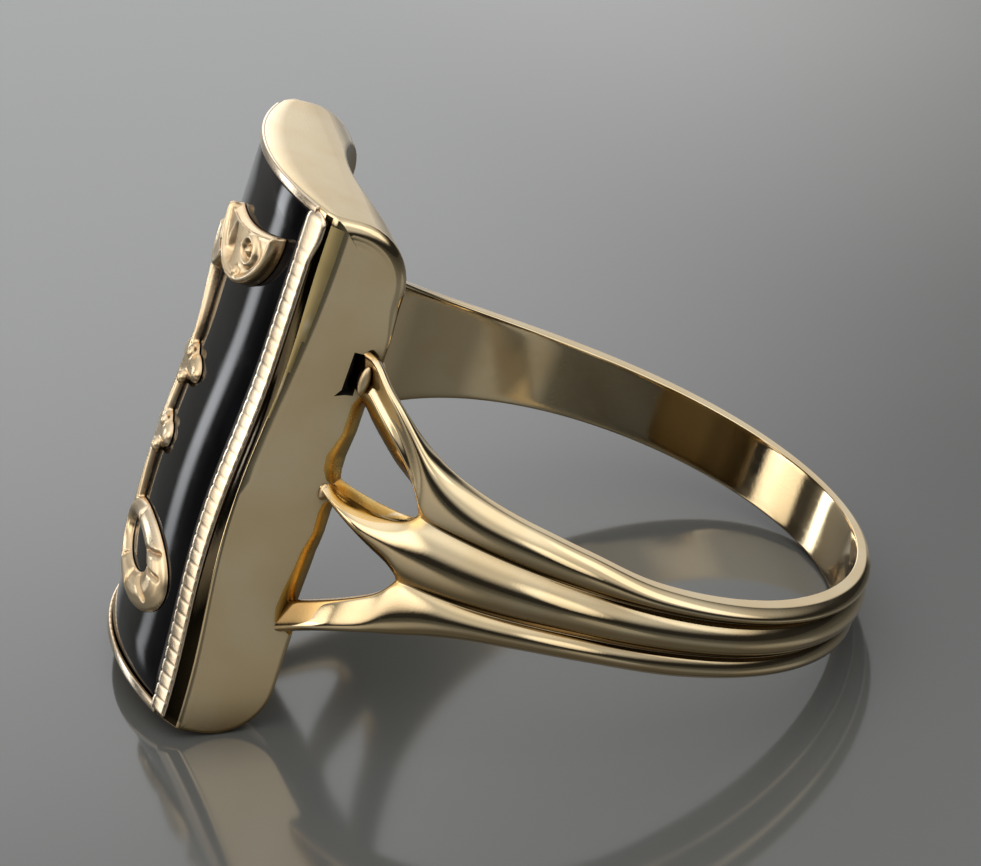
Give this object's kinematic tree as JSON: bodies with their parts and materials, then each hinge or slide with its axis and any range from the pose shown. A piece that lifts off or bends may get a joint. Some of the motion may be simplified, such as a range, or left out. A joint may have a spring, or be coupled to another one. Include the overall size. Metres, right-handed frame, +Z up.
{
  "type": "initial ring",
  "caption": "Finger ring with a long curved head that holds a dark inlay and a raised scroll, on a ridged band whose shoulders fork to meet the head.",
  "frame": {"origin": "on the table, under the middle of the box of the ring as it lies at rest", "axes": "+Z up from the table, +X from the head towards the back of the band, +Y across the finger opening"},
  "size_m": [0.0222, 0.0194, 0.0153],
  "materials": {
    "gold": "polished yellow gold",
    "onyx": "polished opaque black stone",
    "rose_gold": "softly worn rose gold"
  },
  "bodies": {
    "root": {"gold_mount": "gold", "onyx_plate": "onyx", "gold_ornament": "rose_gold"}
  },
  "joints": []
}
